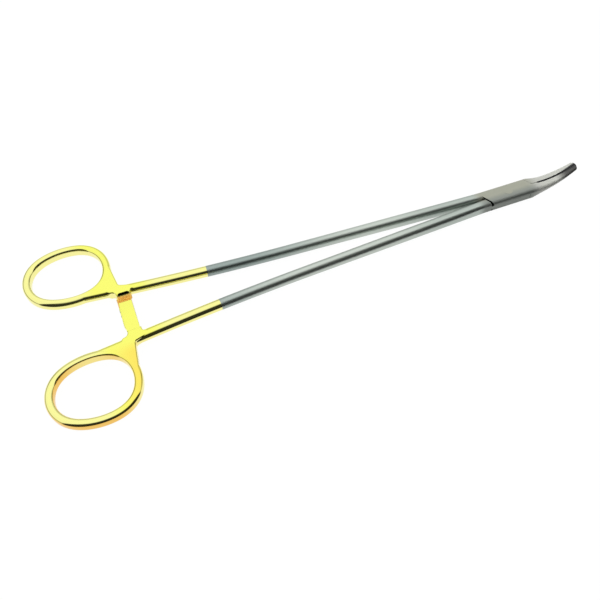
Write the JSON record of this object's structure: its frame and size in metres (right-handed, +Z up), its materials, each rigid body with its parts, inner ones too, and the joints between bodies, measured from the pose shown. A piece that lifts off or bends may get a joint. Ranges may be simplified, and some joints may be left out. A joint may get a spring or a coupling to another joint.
{
  "type": "surgical needle holder",
  "caption": "Ring-handled surgical needle holder: two forged halves crossing in a box lock, toothed ratchet bars between the rings, and upturned jaws with hard-metal inserts.",
  "frame": {"origin": "where the axis of the box-lock pin meets the surface that the closed instrument lies on, under the box", "axes": "+X from the pin towards the tips, +Z up along the pin's axis (the jaws curve up), +Y across, towards the ring of the half whose cheeks hold the other's tongue"},
  "size_m": [0.2312, 0.0798, 0.0092],
  "materials": {
    "steel": "satin steel; rings, ratchet bars and the rear of the shanks are polished gold plate",
    "pin_steel": "satin, ground flush with the box",
    "hard_metal": "dark satin tungsten carbide"
  },
  "bodies": {
    "female": {"female_half": "steel", "box_lock_pin": "pin_steel", "female_jaw_insert": "hard_metal"},
    "male": {"male_half": "steel", "male_jaw_insert": "hard_metal"}
  },
  "joints": [
    {"name": "box_lock", "type": "hinge", "parent": "female", "child": "male", "pos_m": [0, 0, 0], "axis": [0, 0, 1], "range_deg": [-0.4, 30]}
  ]
}
